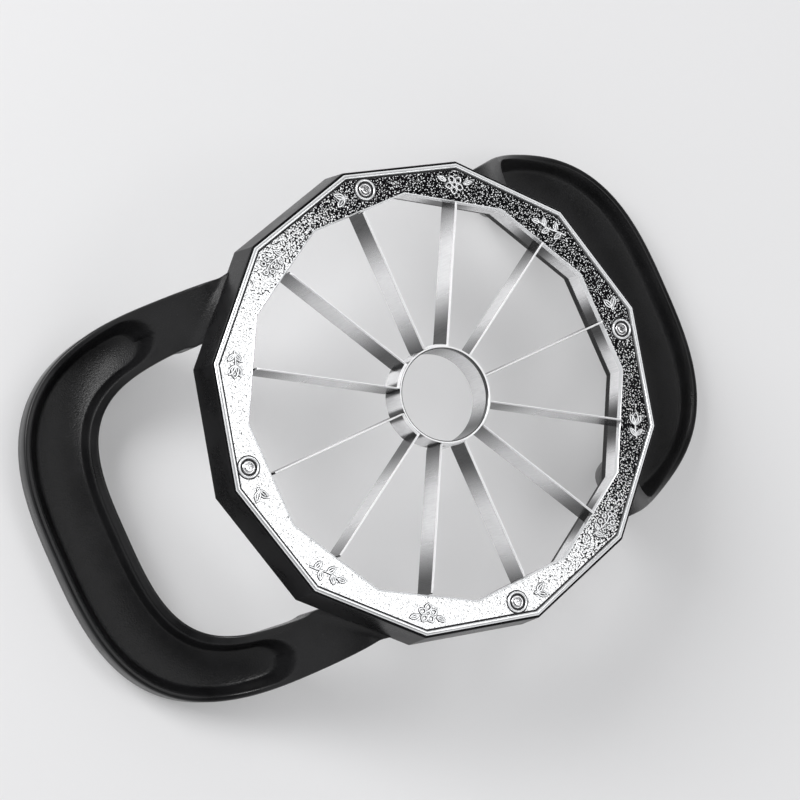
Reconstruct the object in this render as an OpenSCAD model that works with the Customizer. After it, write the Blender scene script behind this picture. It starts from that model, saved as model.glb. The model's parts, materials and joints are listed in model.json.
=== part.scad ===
// Twelve-blade apple slicer and corer, lying on the backs of its two looped handles.
// The cutting side faces up. Heights are first given from the plane of the cover ring's
// border, with what lies below it negative, and from_face() lifts them to that plane.

/* [Cover ring] */
// Distance across the corners of the bright cover ring
ring_across = 124; // [114:1:136]
// Width of the cover ring's face, from its side to the opening
face_w = 8.3; // [8:0.1:11]
// Thickness of the cover ring
cover_t = 2; // [1.7:0.1:3]
// Width of the raised border at the outer edge
border_w = 1.1; // [0.6:0.1:1.4]
// Width of the thin raised border at the opening
inner_border_w = 0.7; // [0.4:0.1:0.8]
// Depth of the pebbled field below the outer border
field_depth = 0.6; // [0.3:0.1:0.8]
// Width of the dark groove along the inside of the outer border
groove_w = 0.5; // [0.3:0.1:0.7]
// Bevel along the outer edge of the border
border_bevel = 0.3; // [0.1:0.1:0.5]

/* [Cover screws] */
// Diameter of a screw's head
head_d = 4; // [3.4:0.1:4.2]
// Height of a screw's head
head_h = 1.3; // [0.9:0.1:1.5]
// Diameter of a screw's shank
shank_d = 2.4; // [2:0.1:2.8]
// Length of a screw below its head
shank_l = 8; // [6:0.5:8.5]
// Width of the raised eyelet around a screw's head
eyelet_w = 0.5; // [0.3:0.1:0.6]
// Angle between a screw and the corner of the ring beside it
screw_turn = 4; // [2:1:5]

/* [Frame band] */
// Depth of the black band, from the cover ring's border to its back
band_h = 12.6; // [12:0.2:18]
// Width of the black lip that shows around the cover ring
lip_w = 0.6; // [0.4:0.1:1.2]
// How far the lip lies below the cover ring's border
lip_drop = 0.6; // [0.3:0.1:1]
// How much further out the band's corners are at its back than at its lip
band_draft = 1.1; // [0.4:0.1:2]
// Thickness of the band's outer wall
wall_t = 1.9; // [1.4:0.1:2.4]
// Thickness of the wall outside the blade hoop
inner_wall_t = 1.6; // [1:0.1:2]
// Thickness of the band's floor at its back
floor_t = 2.2; // [1.6:0.1:3]
// Width of the ledge that carries the blade hoop
ledge_w = 0.7; // [0.5:0.1:1]
// Thickness of the ledge that carries the blade hoop
ledge_t = 1; // [0.8:0.1:1.6]
// Thickness of the ribs inside the band
rib_t = 1; // [0.8:0.1:1.6]
// Diameter of the bosses that the screws go into
boss_d = 6.4; // [5.4:0.2:7]

/* [Blades] */
// Height of the twelve-sided blade hoop
hoop_h = 6.3; // [5:0.1:7]
// Thickness of the blade hoop
hoop_t = 0.8; // [0.5:0.1:1.2]
// How far the hoop stands back from the edge of the opening
hoop_setback = 0.6; // [0.4:0.1:1]
// Thickness of the blade strips
blade_t = 0.55; // [0.4:0.05:0.8]
// Outer diameter of the core ring
core_d = 25.3; // [20:0.1:32]
// Thickness of the core ring's wall
core_t = 0.65; // [0.4:0.05:1]
// Height of the core ring
core_h = 9.8; // [8.6:0.1:11]
// How far the core ring stands above the cover ring's border
core_rise = 2.3; // [1.9:0.1:4]
// How far the cutting edges stand above that border
edge_rise = 2; // [1:0.1:2.2]
// Size of the cut-off corner where a cutting edge meets the ring
edge_corner = 1.4; // [0.8:0.1:2]
// Height of the ground bevel along the cutting edges
grind_h = 0.8; // [0.4:0.1:1.2]

/* [Handles] */
// Distance from the cover ring's border down to the back of the grips
handle_drop = 52.5; // [44:0.5:62]
// Gap for the fingers between the band's corner and the grip
finger_gap = 15.3; // [13:0.1:30]
// Width of the grip
grip_w = 20; // [16:0.5:26]
// Thickness of the grip
grip_t = 10; // [8:0.5:13]
// Width of the arms that carry the grip
arm_w = 15.4; // [14:0.2:16]
// How much an arm narrows toward the band, as a part of its length
arm_taper = 0.1; // [0:0.01:0.15]
// Length along the tool over which the arms drop to the grip
shoulder_run = 21; // [18:0.5:24]
// Depth of the dished trough along the handle's front
dish_depth = 3.8; // [1:0.2:4]
// Radius of the fillet where an arm meets the band
root_fillet = 2; // [0.8:0.2:3]

/* [Hidden] */

black_plastic = "#1b1b1d";
bright_plating = "#d9dcdf";
blade_steel = "#b9bdc1";
screw_steel = "#8d9196";

sides = 12;
side_angle = 360 / sides;
half_side = side_angle / 2;
screws = 4;
round_steps = 64;
play = 0.1;
weld_gap = 0.05;
joint_overlap = 1;

// Cover ring. An apothem is the distance from the axis to the middle of a side.
cover_a = ring_across / 2 * cos(half_side);
opening_a = cover_a - face_w;
field_out_a = cover_a - border_w;
field_in_a = opening_a + inner_border_w;
inner_border_drop = field_depth / 3;
groove_depth = field_depth + 0.4;

// Screws
screw_r = (field_in_a + field_out_a / cos(half_side)) / 2;
eyelet_d = head_d + 2 * (play + eyelet_w) + 0.2;
head_seat = head_h + 0.3;
cover_boss_z = head_seat + 1.6;
cover_boss_d = head_d + 1;
cross_w = 0.55;
cross_l = head_d * 0.62;
cross_depth = head_h * 0.6;
shank_tip = 0.8;

// Frame band
pocket_a = cover_a + play;
lip_a = pocket_a + lip_w - play;
back_a = lip_a + band_draft * cos(half_side);
back_bevel = 0.8;
back_corner = back_a / cos(half_side);
channel_a = cover_a - wall_t + 0.8;
hoop_in_a = opening_a + hoop_setback;
hoop_out_a = hoop_in_a + hoop_t;
inner_wall_a = hoop_out_a + play;
inner_wall_out_a = inner_wall_a + inner_wall_t;
hoop_low = cover_t + hoop_h;
rib_gap = 1;
screw_hole_depth = head_seat + shank_l + 0.6;

// Blades
core_r = core_d / 2;
strip_r = core_r + weld_gap;
strip_mid_r = strip_r + blade_t / 2;
strip_flat_r = strip_r + 2 * blade_t;
strip_tuck = 0.2;
blade_end_r = opening_a - 0.15;
core_low = core_h - core_rise;
strip_low = core_low - 0.1;
core_bevel = core_t * 0.6;
edge_w = blade_t * 0.3;

// Handles. The loop's outline is a rounded square about a point near the root.
root_mid = back_a * cos(45);
loop_x = root_mid + 2.5;
arm_y = root_mid + 1.9;
grip_in_a = back_corner + finger_gap - loop_x;
grip_out_a = grip_in_a + grip_w;
arm_out_b = arm_y + arm_w / 2;
arm_in_b = arm_y - arm_w / 2;
out_power = 2.85;
in_power = 3.2;
root_out_x = loop_x - 12;
root_in_x = loop_x - 4.5;
root_steps = 4;
arm_steps = 12;
arm_sweep = 30;
grip_steps = 10;
shoulder_z = -(band_h - 1.1);
shoulder_x = loop_x - 6;
front_power = 1.9;
taper_end = loop_x + 23;
taper_ease = 12;
root_back_z = -(band_h - 0.2);
heel_drop = 0.6;

// Fractions across the handle, from its outer edge to its inner edge
front_across = [
    0, 0.02, 0.045, 0.075, 0.11, 0.17, 0.24, 0.37,
    0.5, 0.63, 0.75, 0.8, 0.86, 0.91, 0.96, 1
];
back_across = [0.94, 0.78, 0.5, 0.22, 0.06];

module from_face() {
    translate([0, 0, handle_drop]) children();
}

module prism(apothem, low, high, turn = 0) {
    translate([0, 0, low])
        rotate(turn)
            linear_extrude(high - low)
                circle(r = apothem / cos(half_side), $fn = sides);
}

module tapered_prism(low_a, high_a, low, high, turn = 0) {
    translate([0, 0, low])
        rotate(turn)
            cylinder(
                h = high - low,
                r1 = low_a / cos(half_side),
                r2 = high_a / cos(half_side),
                $fn = sides
            );
}

module at_screw(index) {
    rotate(index * 360 / screws - screw_turn)
        translate([screw_r, 0, 0])
            children();
}

module rod(d, low, high) {
    translate([0, 0, low])
        cylinder(h = high - low, d = d, $fn = round_steps);
}

// Eases from 0 at low to 1 at high
function smooth(low, high, value) =
    let (part = min(1, max(0, (value - low) / (high - low))))
    part * part * (3 - 2 * part);

// Superellipse in polar form: the distance from its centre at an angle
function rounded_reach(angle, a, b, power) =
    pow(pow(abs(cos(angle)) / a, power) + pow(abs(sin(angle)) / b, power), -1 / power);

function loop_point(angle, a, b, power) =
    let (reach = rounded_reach(angle, a, b, power))
    [loop_x + reach * cos(angle), reach * sin(angle)];

// How far a point of the upper right quarter lies outside the band's wall
function wall_gap(point) =
    max([
        for (side = [0 : sides / 4 - 1])
            let (normal = half_side + side * side_angle)
            point.x * cos(normal) + point.y * sin(normal)
    ]) - back_a;

// Rise of a fillet toward the wall
function fillet(gap, radius) =
    gap >= radius ? 0 : pow(radius - max(gap, 0), 2) / (2 * radius);

// The arm's two edges from its end inside the band to where the loop starts
function root_outer(part) = [root_out_x + (loop_x - root_out_x) * part, arm_out_b];

function root_inner(part) = [root_in_x + (loop_x - root_in_x) * part, arm_in_b];

station_angles = concat(
    [for (i = [0 : arm_steps - 1]) 90 - arm_sweep * i / arm_steps],
    [for (i = [0 : grip_steps]) (90 - arm_sweep) * (1 - i / grip_steps)]
);

half_loop = concat(
    [for (i = [0 : root_steps - 1]) [root_outer(i / root_steps), root_inner(i / root_steps)]],
    [for (angle = station_angles) [
        loop_point(angle, grip_out_a, arm_out_b, out_power),
        loop_point(angle, grip_in_a, arm_in_b, in_power)
    ]]
);

// How far the arm's outer edge has moved in at x: along a line, with an eased start
function narrowing(x) =
    let (ahead = max(0, taper_end - x))
    arm_taper
        * (ahead < taper_ease ? pow(ahead, 2) / (2 * taper_ease) : ahead - taper_ease / 2);

function tapered(point) = [point.x, point.y - narrowing(point.x)];

// A fillet spreads an edge along the band's wall, the outer edge away from the inner one
function spread(point, along) =
    point + along * fillet(wall_gap(point), root_fillet) * cos(45) * [-1, 1];

function flared(edges) = [spread(tapered(edges[0]), 1), spread(edges[1], -1)];

// How far an arm's surface has dropped, from 0 where it starts to 1 at the grip
function drop(x, start, run, power = 2) =
    x <= start ? 0 : 1 - exp(-pow((x - start) / run, power));

function front_z(point) =
    shoulder_z
    - (handle_drop - grip_t + shoulder_z)
        * drop(point.x, shoulder_x, shoulder_run, front_power)
    + fillet(wall_gap(point), root_fillet);

arm_end = flared(half_loop[0]);

function back_z(x, across) =
    let (start = arm_end[0].x + (arm_end[1].x - arm_end[0].x) * across)
    let (run = shoulder_run - 5 - 6.5 * across)
    max(-handle_drop,
        root_back_z - (handle_drop + heel_drop + root_back_z) * drop(x, start, run));

// A quarter round that starts one part away from an edge
function edge_round(part) = part >= 1 ? 0 : 1 - sqrt(1 - pow(1 - part, 2));

// Depth across the handle as a part of its thickness: the front, then the back
function dish(across, x) =
    dish_depth / grip_t
    * (smooth(0.105, 0.26, across) - smooth(0.72, 0.87, across))
    * smooth(loop_x + 9, loop_x + 17, x);

function front_part(across, x) =
    0.14 * edge_round(across / 0.075)
    + 0.3 * edge_round((1 - across) / 0.14)
    + dish(across, x);

function back_part(across) =
    1 - 0.42 * edge_round(across / 0.3) - 0.42 * edge_round((1 - across) / 0.3);

function handle_point(edges, across, is_front) =
    let (plan = edges[0] + (edges[1] - edges[0]) * across)
    let (front = front_z(plan))
    let (back = back_z(plan.x, across))
    let (part = is_front ? front_part(across, plan.x) : back_part(across))
    [plan.x, plan.y, front + (back - front) * part];

function handle_section(edges) = concat(
    [for (across = front_across) handle_point(edges, across, true)],
    [for (across = back_across) handle_point(edges, across, false)]
);

function mirrored(section) = [for (point = section) [point.x, -point.y, point.z]];

module handle() {
    half = [for (edges = half_loop) handle_section(flared(edges))];
    last = len(half) - 1;
    sections = concat(half, [for (i = [last - 1 : -1 : 0]) mirrored(half[i])]);
    around = len(sections[0]);
    points = [for (section = sections) each section];
    skin = [
        for (row = [0 : len(sections) - 2])
            for (i = [0 : around - 1])
                let (a = row * around + i)
                let (b = row * around + (i + 1) % around)
                each [[a, b + around, b], [a, a + around, b + around]]
    ];
    first_cap = [for (i = [0 : around - 1]) i];
    last_cap = [for (i = [around - 1 : -1 : 0]) (len(sections) - 1) * around + i];
    polyhedron(points = points, faces = concat(skin, [first_cap], [last_cap]), convexity = 8);
}

// The band's outside, filled in: its drafted sides, cut by a bevel round the back
module band_block() {
    draft = (back_a - lip_a) / (band_h - back_bevel - lip_drop);
    intersection() {
        tapered_prism(
            back_a + draft * (back_bevel + joint_overlap), lip_a,
            -band_h - joint_overlap, -lip_drop
        );
        tapered_prism(back_a - back_bevel, back_a - back_bevel + band_h, -band_h, 0);
    }
}

module band_shell() {
    difference() {
        band_block();
        prism(pocket_a, -cover_t, joint_overlap);
        difference() {
            prism(channel_a, floor_t - band_h, joint_overlap);
            prism(inner_wall_out_a, -band_h, -cover_t, half_side);
        }
    }
}

module band_ribs() {
    for (i = [0 : sides - 1])
        rotate(i * side_angle + half_side)
            translate([inner_wall_out_a - joint_overlap, -rib_t / 2, -band_h + floor_t / 2])
                cube([
                    channel_a - inner_wall_out_a + 2 * joint_overlap,
                    rib_t,
                    band_h - floor_t / 2 - cover_t - rib_gap
                ]);
}

module frame_band() {
    color(black_plastic) from_face() difference() {
        union() {
            band_shell();
            band_ribs();
            for (i = [0 : screws - 1])
                at_screw(i) rod(boss_d, -band_h + floor_t / 2, -cover_boss_z);
        }
        prism(inner_wall_a, -hoop_low, joint_overlap, half_side);
        prism(inner_wall_a - ledge_w, -band_h - joint_overlap, joint_overlap, half_side);
        prism(inner_wall_a, -band_h - joint_overlap, -hoop_low - ledge_t, half_side);
        for (i = [0 : screws - 1])
            at_screw(i) {
                rod(shank_d + play, -screw_hole_depth, 0);
                rod(cover_boss_d + 2 * play, -cover_boss_z, 0);
            }
    }
}

// A looped handle, cut off where its two arms run into the band
module frame_handle(turn) {
    color(black_plastic) from_face() difference() {
        rotate(turn) handle();
        band_block();
    }
}

// The cover ring's outside, filled in: its upright sides, cut by the border's bevel
module cover_block() {
    intersection() {
        prism(cover_a, -cover_t, joint_overlap);
        tapered_prism(
            cover_a - border_bevel + cover_t + joint_overlap, cover_a - border_bevel,
            -cover_t - joint_overlap, 0
        );
    }
}

module cover_ring() {
    color(bright_plating) from_face() difference() {
        union() {
            difference() {
                cover_block();
                difference() {
                    prism(field_out_a, -field_depth, joint_overlap);
                    prism(field_in_a, -cover_t, joint_overlap, half_side);
                }
                difference() {
                    prism(field_out_a, -groove_depth, joint_overlap);
                    prism(field_out_a - groove_w, -cover_t, joint_overlap);
                }
                prism(field_in_a, -inner_border_drop, joint_overlap, half_side);
            }
            for (i = [0 : screws - 1])
                at_screw(i) {
                    rod(eyelet_d, -field_depth - 0.1, -0.1);
                    rod(cover_boss_d, -cover_boss_z, -field_depth - 0.1);
                }
        }
        prism(opening_a, -cover_t - joint_overlap, joint_overlap, half_side);
        for (i = [0 : screws - 1])
            at_screw(i) {
                rod(head_d + 2 * play, -head_seat, joint_overlap);
                rod(shank_d + 2 * play, -cover_boss_z - joint_overlap, 0);
            }
    }
}

module cover_screw(index) {
    color(screw_steel) from_face() at_screw(index) difference() {
        union() {
            rod(head_d, -head_seat, head_h - head_seat);
            rod(shank_d, shank_tip - head_seat - shank_l, -head_seat);
            translate([0, 0, -head_seat - shank_l])
                cylinder(h = shank_tip, d1 = shank_d / 2, d2 = shank_d, $fn = round_steps);
        }
        for (turn = [0, 90])
            rotate(turn)
                translate([-cross_l / 2, -cross_w / 2, head_h - head_seat - cross_depth])
                    cube([cross_l, cross_w, cross_depth + joint_overlap]);
    }
}

module blade_hoop() {
    color(blade_steel) from_face() difference() {
        prism(hoop_out_a, -hoop_low, -cover_t, half_side);
        prism(hoop_in_a, -hoop_low - joint_overlap, joint_overlap, half_side);
    }
}

module core_ring() {
    color(blade_steel) from_face() rotate_extrude($fn = round_steps * 2)
        polygon([
            [core_r - core_t, -core_low],
            [core_r, -core_low],
            [core_r, core_rise],
            [core_r - core_t + core_bevel, core_rise],
            [core_r - core_t, core_rise - core_bevel]
        ]);
}

// One blade along +X: its side outline cut by a bar that is ground to an edge at the top
module blade() {
    intersection() {
        rotate([90, 0, 0])
            linear_extrude(blade_t, center = true)
                polygon([
                    [strip_flat_r, -strip_low],
                    [strip_mid_r, strip_tuck - strip_low],
                    [strip_mid_r, edge_rise],
                    [blade_end_r - edge_corner, edge_rise],
                    [blade_end_r - edge_corner / 4, edge_rise - edge_corner / 4],
                    [blade_end_r, edge_rise - edge_corner],
                    [blade_end_r, -cover_t - play],
                    [hoop_in_a, -cover_t - play],
                    [hoop_in_a, -strip_low]
                ]);
        rotate([90, 0, 90])
            linear_extrude(2 * hoop_in_a)
                polygon([
                    [-blade_t / 2, -core_h],
                    [blade_t / 2, -core_h],
                    [blade_t / 2, edge_rise - grind_h],
                    [edge_w / 2, edge_rise],
                    [-edge_w / 2, edge_rise],
                    [-blade_t / 2, edge_rise - grind_h]
                ]);
    }
}

// A strip bent round the core ring: two blades and the band between them
module blade_pair(index) {
    start = (2 * index - 2) * side_angle;
    lap = asin(blade_t / 4 / strip_mid_r);
    color(blade_steel) from_face() {
        rotate(start) blade();
        rotate(start + side_angle) blade();
        rotate(start - lap)
            rotate_extrude(angle = side_angle + 2 * lap, $fn = round_steps * 2)
                polygon([
                    [strip_r, -strip_low],
                    [strip_r + blade_t, -strip_low],
                    [strip_r + blade_t, edge_rise - grind_h],
                    [strip_r + edge_w, edge_rise],
                    [strip_r, edge_rise]
                ]);
    }
}

frame_band();
frame_handle(0);  // right_handle
frame_handle(180);  // left_handle
cover_ring();
blade_hoop();
core_ring();
blade_pair(1);  // blade_pair_1
blade_pair(2);  // blade_pair_2
blade_pair(3);  // blade_pair_3
blade_pair(4);  // blade_pair_4
blade_pair(5);  // blade_pair_5
blade_pair(6);  // blade_pair_6
cover_screw(0);  // cover_screw_1
cover_screw(1);  // cover_screw_2
cover_screw(2);  // cover_screw_3
cover_screw(3);  // cover_screw_4
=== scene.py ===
"""Twelve-blade apple slicer and corer: black frame, bright cover ring, steel blades."""

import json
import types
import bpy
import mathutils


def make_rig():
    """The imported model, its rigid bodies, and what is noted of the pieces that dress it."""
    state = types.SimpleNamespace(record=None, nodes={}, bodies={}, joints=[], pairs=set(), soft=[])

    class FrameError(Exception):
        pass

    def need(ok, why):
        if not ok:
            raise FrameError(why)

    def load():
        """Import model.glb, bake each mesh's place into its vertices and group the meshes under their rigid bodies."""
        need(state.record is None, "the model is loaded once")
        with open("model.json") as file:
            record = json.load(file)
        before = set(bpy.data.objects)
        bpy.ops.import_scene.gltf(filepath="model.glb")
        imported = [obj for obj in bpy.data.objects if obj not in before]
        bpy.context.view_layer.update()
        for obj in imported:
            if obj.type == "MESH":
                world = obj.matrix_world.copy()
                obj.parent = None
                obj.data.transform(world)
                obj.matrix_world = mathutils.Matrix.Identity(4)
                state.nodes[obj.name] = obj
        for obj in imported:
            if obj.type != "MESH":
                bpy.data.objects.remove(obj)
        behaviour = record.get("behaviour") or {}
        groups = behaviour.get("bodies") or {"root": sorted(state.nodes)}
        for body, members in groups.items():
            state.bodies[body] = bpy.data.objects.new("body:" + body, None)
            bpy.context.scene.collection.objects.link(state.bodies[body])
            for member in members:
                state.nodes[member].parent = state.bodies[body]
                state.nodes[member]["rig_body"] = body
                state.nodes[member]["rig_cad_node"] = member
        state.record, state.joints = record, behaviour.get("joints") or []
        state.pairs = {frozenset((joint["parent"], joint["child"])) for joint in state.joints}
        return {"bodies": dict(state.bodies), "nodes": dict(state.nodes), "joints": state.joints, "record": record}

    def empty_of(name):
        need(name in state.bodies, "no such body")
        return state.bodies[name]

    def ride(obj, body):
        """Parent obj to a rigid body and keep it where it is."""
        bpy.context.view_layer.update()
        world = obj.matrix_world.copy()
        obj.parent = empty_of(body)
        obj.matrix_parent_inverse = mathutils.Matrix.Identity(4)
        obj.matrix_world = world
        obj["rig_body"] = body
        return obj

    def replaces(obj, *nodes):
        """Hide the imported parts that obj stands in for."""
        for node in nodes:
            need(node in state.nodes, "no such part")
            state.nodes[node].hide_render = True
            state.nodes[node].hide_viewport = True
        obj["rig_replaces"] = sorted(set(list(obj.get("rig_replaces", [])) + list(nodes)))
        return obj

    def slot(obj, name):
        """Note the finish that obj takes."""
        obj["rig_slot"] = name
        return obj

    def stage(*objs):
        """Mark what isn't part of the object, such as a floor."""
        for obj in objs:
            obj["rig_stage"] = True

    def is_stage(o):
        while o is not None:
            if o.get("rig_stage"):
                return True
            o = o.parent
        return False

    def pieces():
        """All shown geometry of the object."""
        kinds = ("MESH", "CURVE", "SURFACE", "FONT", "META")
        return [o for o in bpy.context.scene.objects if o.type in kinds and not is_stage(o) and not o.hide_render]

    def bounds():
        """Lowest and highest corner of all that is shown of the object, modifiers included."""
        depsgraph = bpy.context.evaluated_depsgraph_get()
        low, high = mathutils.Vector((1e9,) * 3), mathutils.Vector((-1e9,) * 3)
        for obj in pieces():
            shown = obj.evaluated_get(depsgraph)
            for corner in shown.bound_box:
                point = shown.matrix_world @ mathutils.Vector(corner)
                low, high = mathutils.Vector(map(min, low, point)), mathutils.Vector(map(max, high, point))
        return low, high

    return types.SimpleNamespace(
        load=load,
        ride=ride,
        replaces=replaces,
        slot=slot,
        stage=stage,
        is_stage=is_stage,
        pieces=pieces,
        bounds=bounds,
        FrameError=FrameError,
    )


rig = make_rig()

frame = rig.load()

import json
import math

import bmesh
import bpy
from bpy.props import FloatProperty, FloatVectorProperty, PointerProperty
from bpy.types import Operator, Panel, PropertyGroup
from mathutils import Euler, Matrix, Vector

bl_info = {
    "name": "Apple Slicer and Corer",
    "version": (1, 0, 0),
    "blender": (4, 5, 0),
    "location": "3D Viewport > Sidebar > Slicer",
    "description": "Dresses the apple slicer: frame, handles, cover ring, screws, steel, stage",
    "category": "Add Mesh",
}

CAD_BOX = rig.bounds()
MM = 0.001
SIDES = 12
SIDE_ANGLE = 2 * math.pi / SIDES
HALF_SIDE = SIDE_ANGLE / 2
FACE = 52.5  # height of the cover ring's border above the grips' backs, in mm
COVER_T = 2.0  # thickness of the cover ring, in mm
EYELET_FLOOR = -0.57  # height of an eyelet's foot and inner floor from the face, in mm

# ---------------------------------------------------------------- settings


def length(name, description, default):
    """A setting that is a length in metres"""
    return FloatProperty(name=name, description=description, default=default, unit="LENGTH")


class SlicerRing(PropertyGroup):
    """Sizes and colour of the bright cover ring"""

    apothem: length("Half width", "From the middle to a flat side of the cover ring", 0.059887)
    opening: length("Opening", "From the middle to a flat side of the opening", 0.051587)
    border: length("Border", "Width of the raised outer border", 0.0011)
    inner_border: length("Inner border", "Width of the thin border at the opening", 0.0004)
    field_depth: length("Field depth", "How far the pebbled field lies below the border", 0.0006)
    groove: length("Groove", "Width of the dark groove inside the border", 0.0005)
    screw_circle: length("Screw circle", "From the middle to a screw", 0.05657)
    screw_turn: FloatProperty(
        name="Screw turn", description="How far the screws sit beside the corners",
        default=math.radians(4), subtype="ANGLE")
    pebble: length("Pebble", "Size of one pebble of the field", 0.00045)
    color: FloatVectorProperty(
        name="Plating", description="Colour of the bright plating",
        default=(0.86, 0.87, 0.88), subtype="COLOR", min=0, max=1)


class SlicerFrame(PropertyGroup):
    """Sizes and colours of the black frame and its handles"""

    wall_back: length(
        "Back half width", "From the middle to the band's side at its back", 0.061549)
    lip: length("Lip half width", "From the middle to the lip round the cover ring", 0.060487)
    band_height: length("Band height", "Height of the band behind the ring's face", 0.0126)
    dish: length("Trough depth", "Depth of the trough along the handles", 0.0038)
    edge: length("Edge", "Rounding of the band's edges", 0.00022)
    grain: length("Grain", "Size of the grain in the moulded surface", 0.00042)
    color: FloatVectorProperty(
        name="Plastic", description="Colour of the black plastic",
        default=(0.006, 0.006, 0.0065), subtype="COLOR", min=0, max=1)


class SlicerSteel(PropertyGroup):
    """Sizes and colour of the blade steel and the screws"""

    head: length("Screw head", "Diameter of a screw's head", 0.004)
    brush: length("Brush lines", "Distance between the brush lines on the steel", 0.00016)
    color: FloatVectorProperty(
        name="Steel", description="Colour of the brushed steel",
        default=(0.80, 0.80, 0.81), subtype="COLOR", min=0, max=1)


class SlicerStage(PropertyGroup):
    """Floor, lamps and camera"""

    floor: FloatVectorProperty(
        name="Floor", description="Colour of the plain floor",
        default=(0.80, 0.80, 0.81), subtype="COLOR", min=0, max=1)
    softbox: FloatProperty(
        name="Softbox", description="Power of the softbox above the tool",
        default=4.0, subtype="POWER")
    side_lamp: FloatProperty(
        name="Side lamp", description="Power of the lamp beside the tool",
        default=16.0, subtype="POWER")
    lens: FloatProperty(
        name="Lens", description="Focal length of the camera in mm",
        default=122.07)


# ---------------------------------------------------------------- modelling help


def start_afresh():
    """Leaves edit mode and deselects everything"""
    if bpy.context.object and bpy.context.object.mode != "OBJECT":
        bpy.ops.object.mode_set(mode="OBJECT")
    bpy.ops.object.select_all(action="DESELECT")


def take(piece):
    """Selects one object only and makes it the active one"""
    start_afresh()
    piece.select_set(True)
    bpy.context.view_layer.objects.active = piece


def corner(apothem):
    """Distance from the middle to a corner of a twelve-sided loop"""
    return apothem / math.cos(HALF_SIDE)


def add_loop(profile, turn=0.0, vertices=SIDES):
    """Adds a ring of edges at the profile's first point and carries it along the rest.

    The profile is a list of (half width, height) in mm, the height from the ring's face."""
    scale = 1 / math.cos(math.pi / vertices) if vertices == SIDES else 1.0
    start, drop = profile[0]
    bpy.ops.mesh.primitive_circle_add(
        vertices=vertices, radius=start * scale * MM, fill_type="NOTHING",
        location=(0, 0, (FACE + drop) * MM), rotation=(0, 0, turn))
    if bpy.context.object.mode != "EDIT":
        bpy.ops.object.transform_apply(location=True, rotation=True, scale=True)
        bpy.ops.object.mode_set(mode="EDIT")
        bpy.ops.mesh.select_all(action="SELECT")
    for (before, low), (after, high) in zip(profile, profile[1:]):
        bpy.ops.mesh.extrude_region_move(
            TRANSFORM_OT_translate={"value": (0, 0, (high - low) * MM)})
        step = after / before
        bpy.ops.transform.resize(value=(step, step, 1), center_override=(0, 0, 0))


def pick(test):
    """Selects the vertices in edit mode whose place passes the test, and what they span"""
    bpy.ops.mesh.select_all(action="DESELECT")
    mesh = bmesh.from_edit_mesh(bpy.context.object.data)
    for vertex in mesh.verts:
        if test(vertex.co):
            vertex.select = True
    mesh.select_flush(True)
    bmesh.update_edit_mesh(bpy.context.object.data)


def at_loop(apothem, drop, turn):
    """A test for the twelve vertices of one loop"""
    tolerance = 0.02

    def test(place):
        reach = math.hypot(place.x, place.y) / MM
        if abs(place.z / MM - FACE - drop) > tolerance:
            return False
        if abs(reach - corner(apothem)) > tolerance * 2:
            return False
        slot = (math.atan2(place.y, place.x) - turn) / SIDE_ANGLE
        return abs(slot - round(slot)) < 0.1
    return test


def bearing(place):
    """Angle round the axis, rounded so that a vertex on the seam always counts as 0"""
    return round(math.atan2(place.y, place.x) % (2 * math.pi), 4) % round(2 * math.pi, 4)


def bridge(first, second):
    """Closes the flat surface between two loops of twelve, one turned half a side"""
    mesh = bmesh.from_edit_mesh(bpy.context.object.data)
    loops = []
    for loop in (first, second):
        test = at_loop(*loop)
        loops.append(sorted((vertex for vertex in mesh.verts if test(vertex.co)),
                            key=lambda vertex: bearing(vertex.co)))
    outer, inner = loops
    for i in range(SIDES):
        after = (i + 1) % SIDES
        mesh.faces.new((outer[i], outer[after], inner[i]))
        mesh.faces.new((inner[i], outer[after], inner[after]))
    bmesh.update_edit_mesh(bpy.context.object.data)


def face_outward():
    """Turns all faces outward, in edit mode"""
    bpy.ops.mesh.select_all(action="SELECT")
    bpy.ops.mesh.normals_make_consistent(inside=False)


def use_modifier(kind, **values):
    """Adds a modifier to the active object and applies it"""
    piece = bpy.context.object
    bpy.ops.object.modifier_add(type=kind)
    modifier = piece.modifiers[-1]
    for key, value in values.items():
        setattr(modifier, key, value)
    bpy.ops.object.modifier_apply(modifier=modifier.name)


def soften_edges(width, angle=24):
    """Rounds the sharp edges and keeps the flat faces flat"""
    use_modifier("BEVEL", width=width, segments=2, limit_method="ANGLE",
                 angle_limit=math.radians(angle), use_clamp_overlap=True)
    bpy.ops.object.shade_smooth_by_angle(angle=math.radians(50))
    use_modifier("WEIGHTED_NORMAL", keep_sharp=True, weight=50)


def finish_piece(name, slot, nodes=()):
    """Names the active object, and says what it rides on and stands for"""
    piece = bpy.context.object
    bpy.ops.object.transform_apply(location=True, rotation=True, scale=True)
    piece.name = name
    piece.data.name = name
    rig.ride(piece, "root")
    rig.slot(piece, slot)
    if nodes:
        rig.replaces(piece, *nodes)
    return piece


def place_copies(first, name, slot, places, nodes=()):
    """Puts a modelled piece at every place but the last as a copy with its own mesh, and
    at the last one itself"""
    for i, place in enumerate(places):
        take(first)
        if i < len(places) - 1:
            bpy.ops.object.duplicate()
        bpy.context.object.data.transform(place)
        finish_piece(f"{name}_{i + 1}", slot, nodes[i:i + 1])


def give(piece, *materials):
    """Puts materials into the piece's slots"""
    piece.data.materials.clear()
    for material in materials:
        piece.data.materials.append(material)


# ---------------------------------------------------------------- materials


def new_group(name, inputs, outputs):
    """A shader node group with named sockets"""
    group = bpy.data.node_groups.new(name, "ShaderNodeTree")
    for title, kind, default in inputs:
        socket = group.interface.new_socket(name=title, in_out="INPUT", socket_type=kind)
        socket.default_value = default
    for title, kind in outputs:
        group.interface.new_socket(name=title, in_out="OUTPUT", socket_type=kind)
    return group, Tree(group)


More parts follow.
